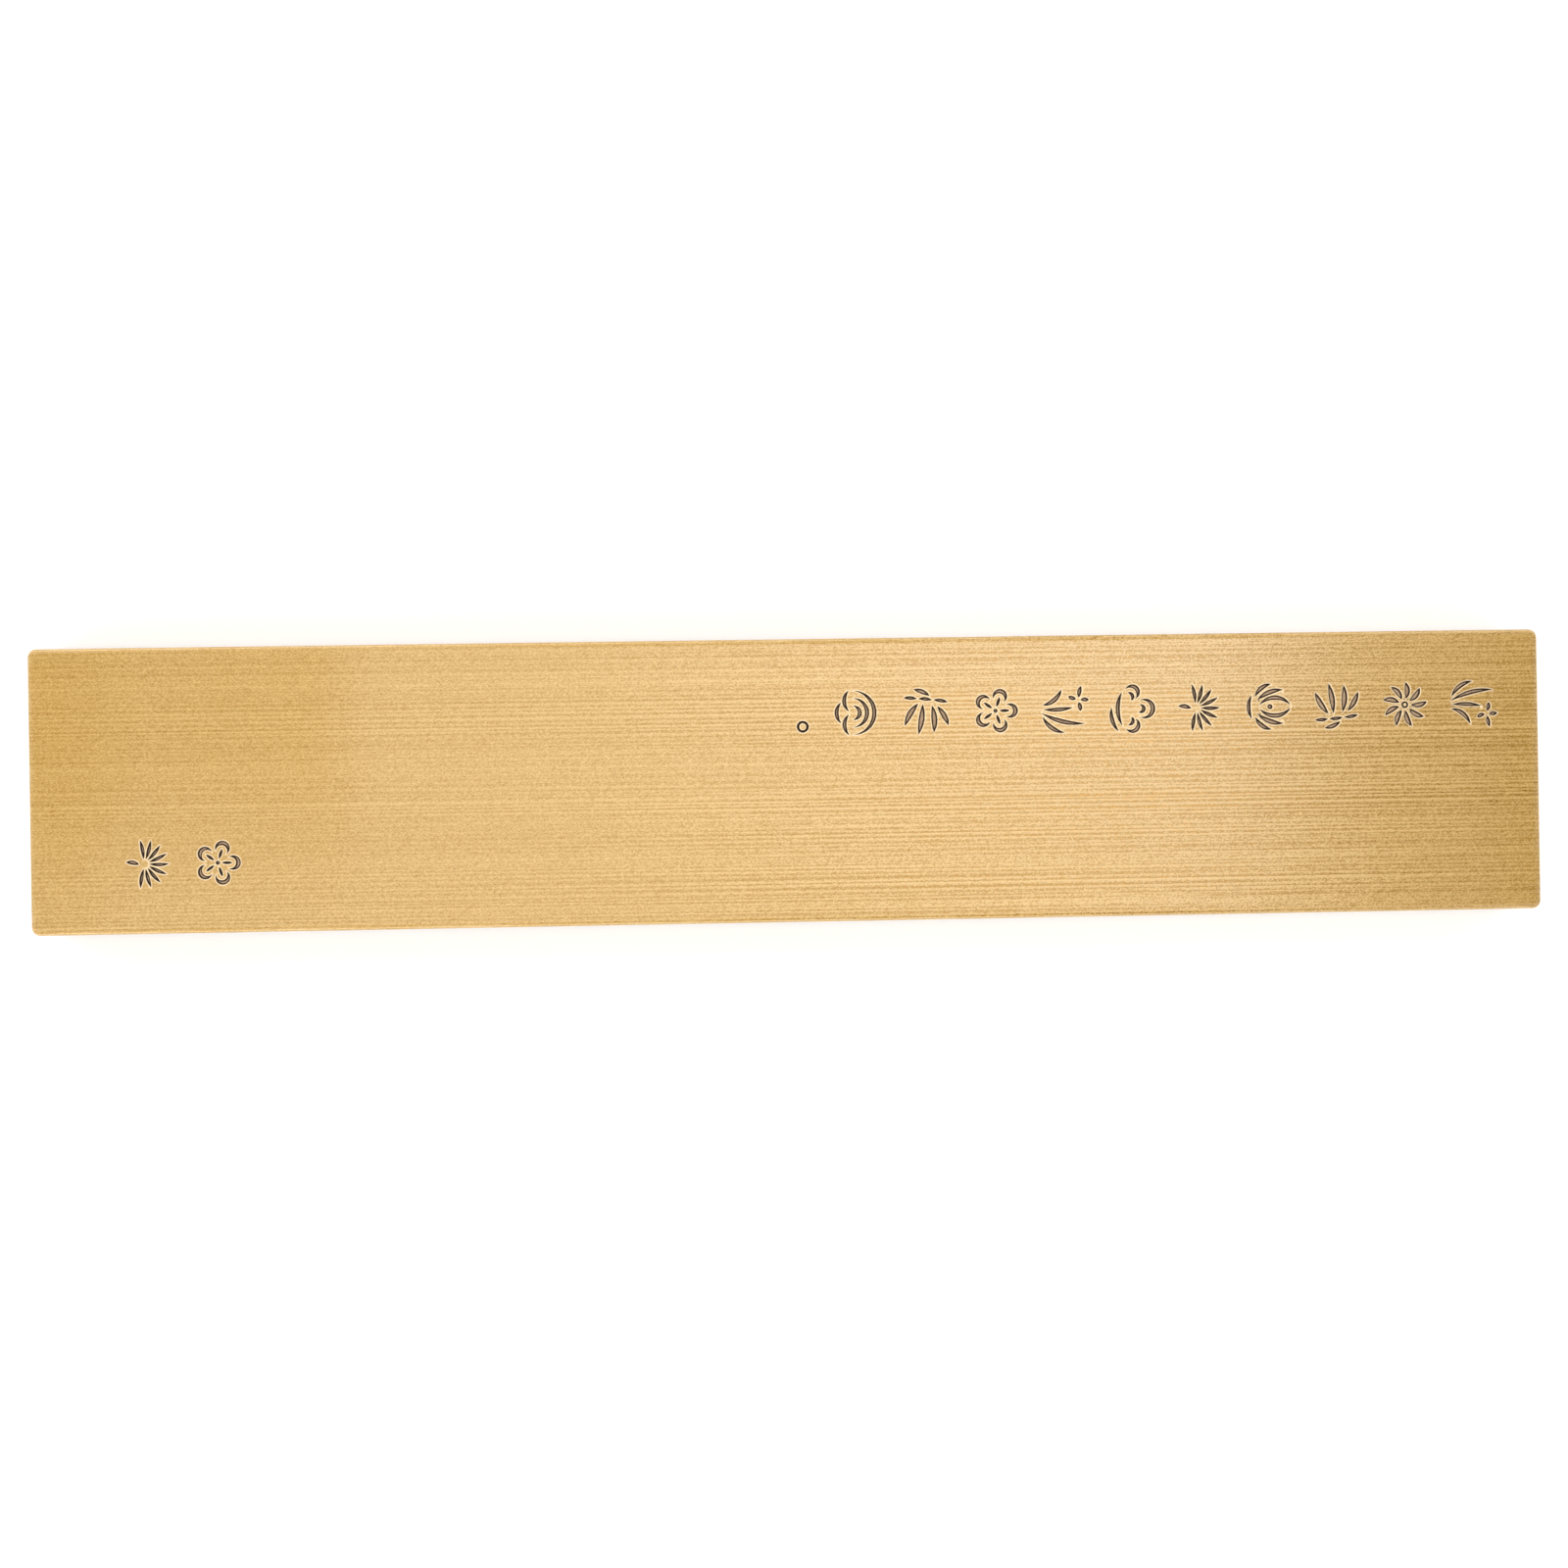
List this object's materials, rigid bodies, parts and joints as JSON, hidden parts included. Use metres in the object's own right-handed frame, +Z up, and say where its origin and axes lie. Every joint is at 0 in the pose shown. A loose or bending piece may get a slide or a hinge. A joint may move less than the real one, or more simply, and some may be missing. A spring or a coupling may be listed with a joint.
{
  "type": "paperweight",
  "caption": "Flat rectangular brushed brass bar with small engraved botanical ornaments filled with dark enamel and a felt base, laid across paper to hold it flat.",
  "frame": {"origin": "under the middle of the bar, in the plane that the felt pad rests on", "axes": "+X along the bar's length, towards the end that the row of ornaments starts from; +Y across its width; +Z up, out of the engraved face"},
  "size_m": [0.16, 0.03, 0.007],
  "materials": {
    "brushed_brass": "straight lengthwise brushed grain under a thin clear lacquer, satin; eased edges slightly brighter",
    "dark_enamel": "matte grey-brown engraver's enamel, darker where it meets the recess wall",
    "adhesive": "translucent cream acrylic film",
    "felt": "dark brown-black pressed wool felt, fuzzy and matte"
  },
  "bodies": {
    "root": {"brass_bar": "brushed_brass", "enamel_pair_1_pine": "dark_enamel", "enamel_pair_2_plum_blossom": "dark_enamel", "enamel_row_01_scallop_wave": "dark_enamel", "enamel_row_02_bamboo": "dark_enamel", "enamel_row_03_plum_blossom": "dark_enamel", "enamel_row_04_orchid": "dark_enamel", "enamel_row_05_cloud": "dark_enamel", "enamel_row_06_pine": "dark_enamel", "enamel_row_07_lotus": "dark_enamel", "enamel_row_08_bamboo": "dark_enamel", "enamel_row_09_chrysanthemum": "dark_enamel", "enamel_row_10_orchid": "dark_enamel", "enamel_small_ring": "dark_enamel", "adhesive_film": "adhesive", "felt_pad": "felt"}
  },
  "joints": []
}
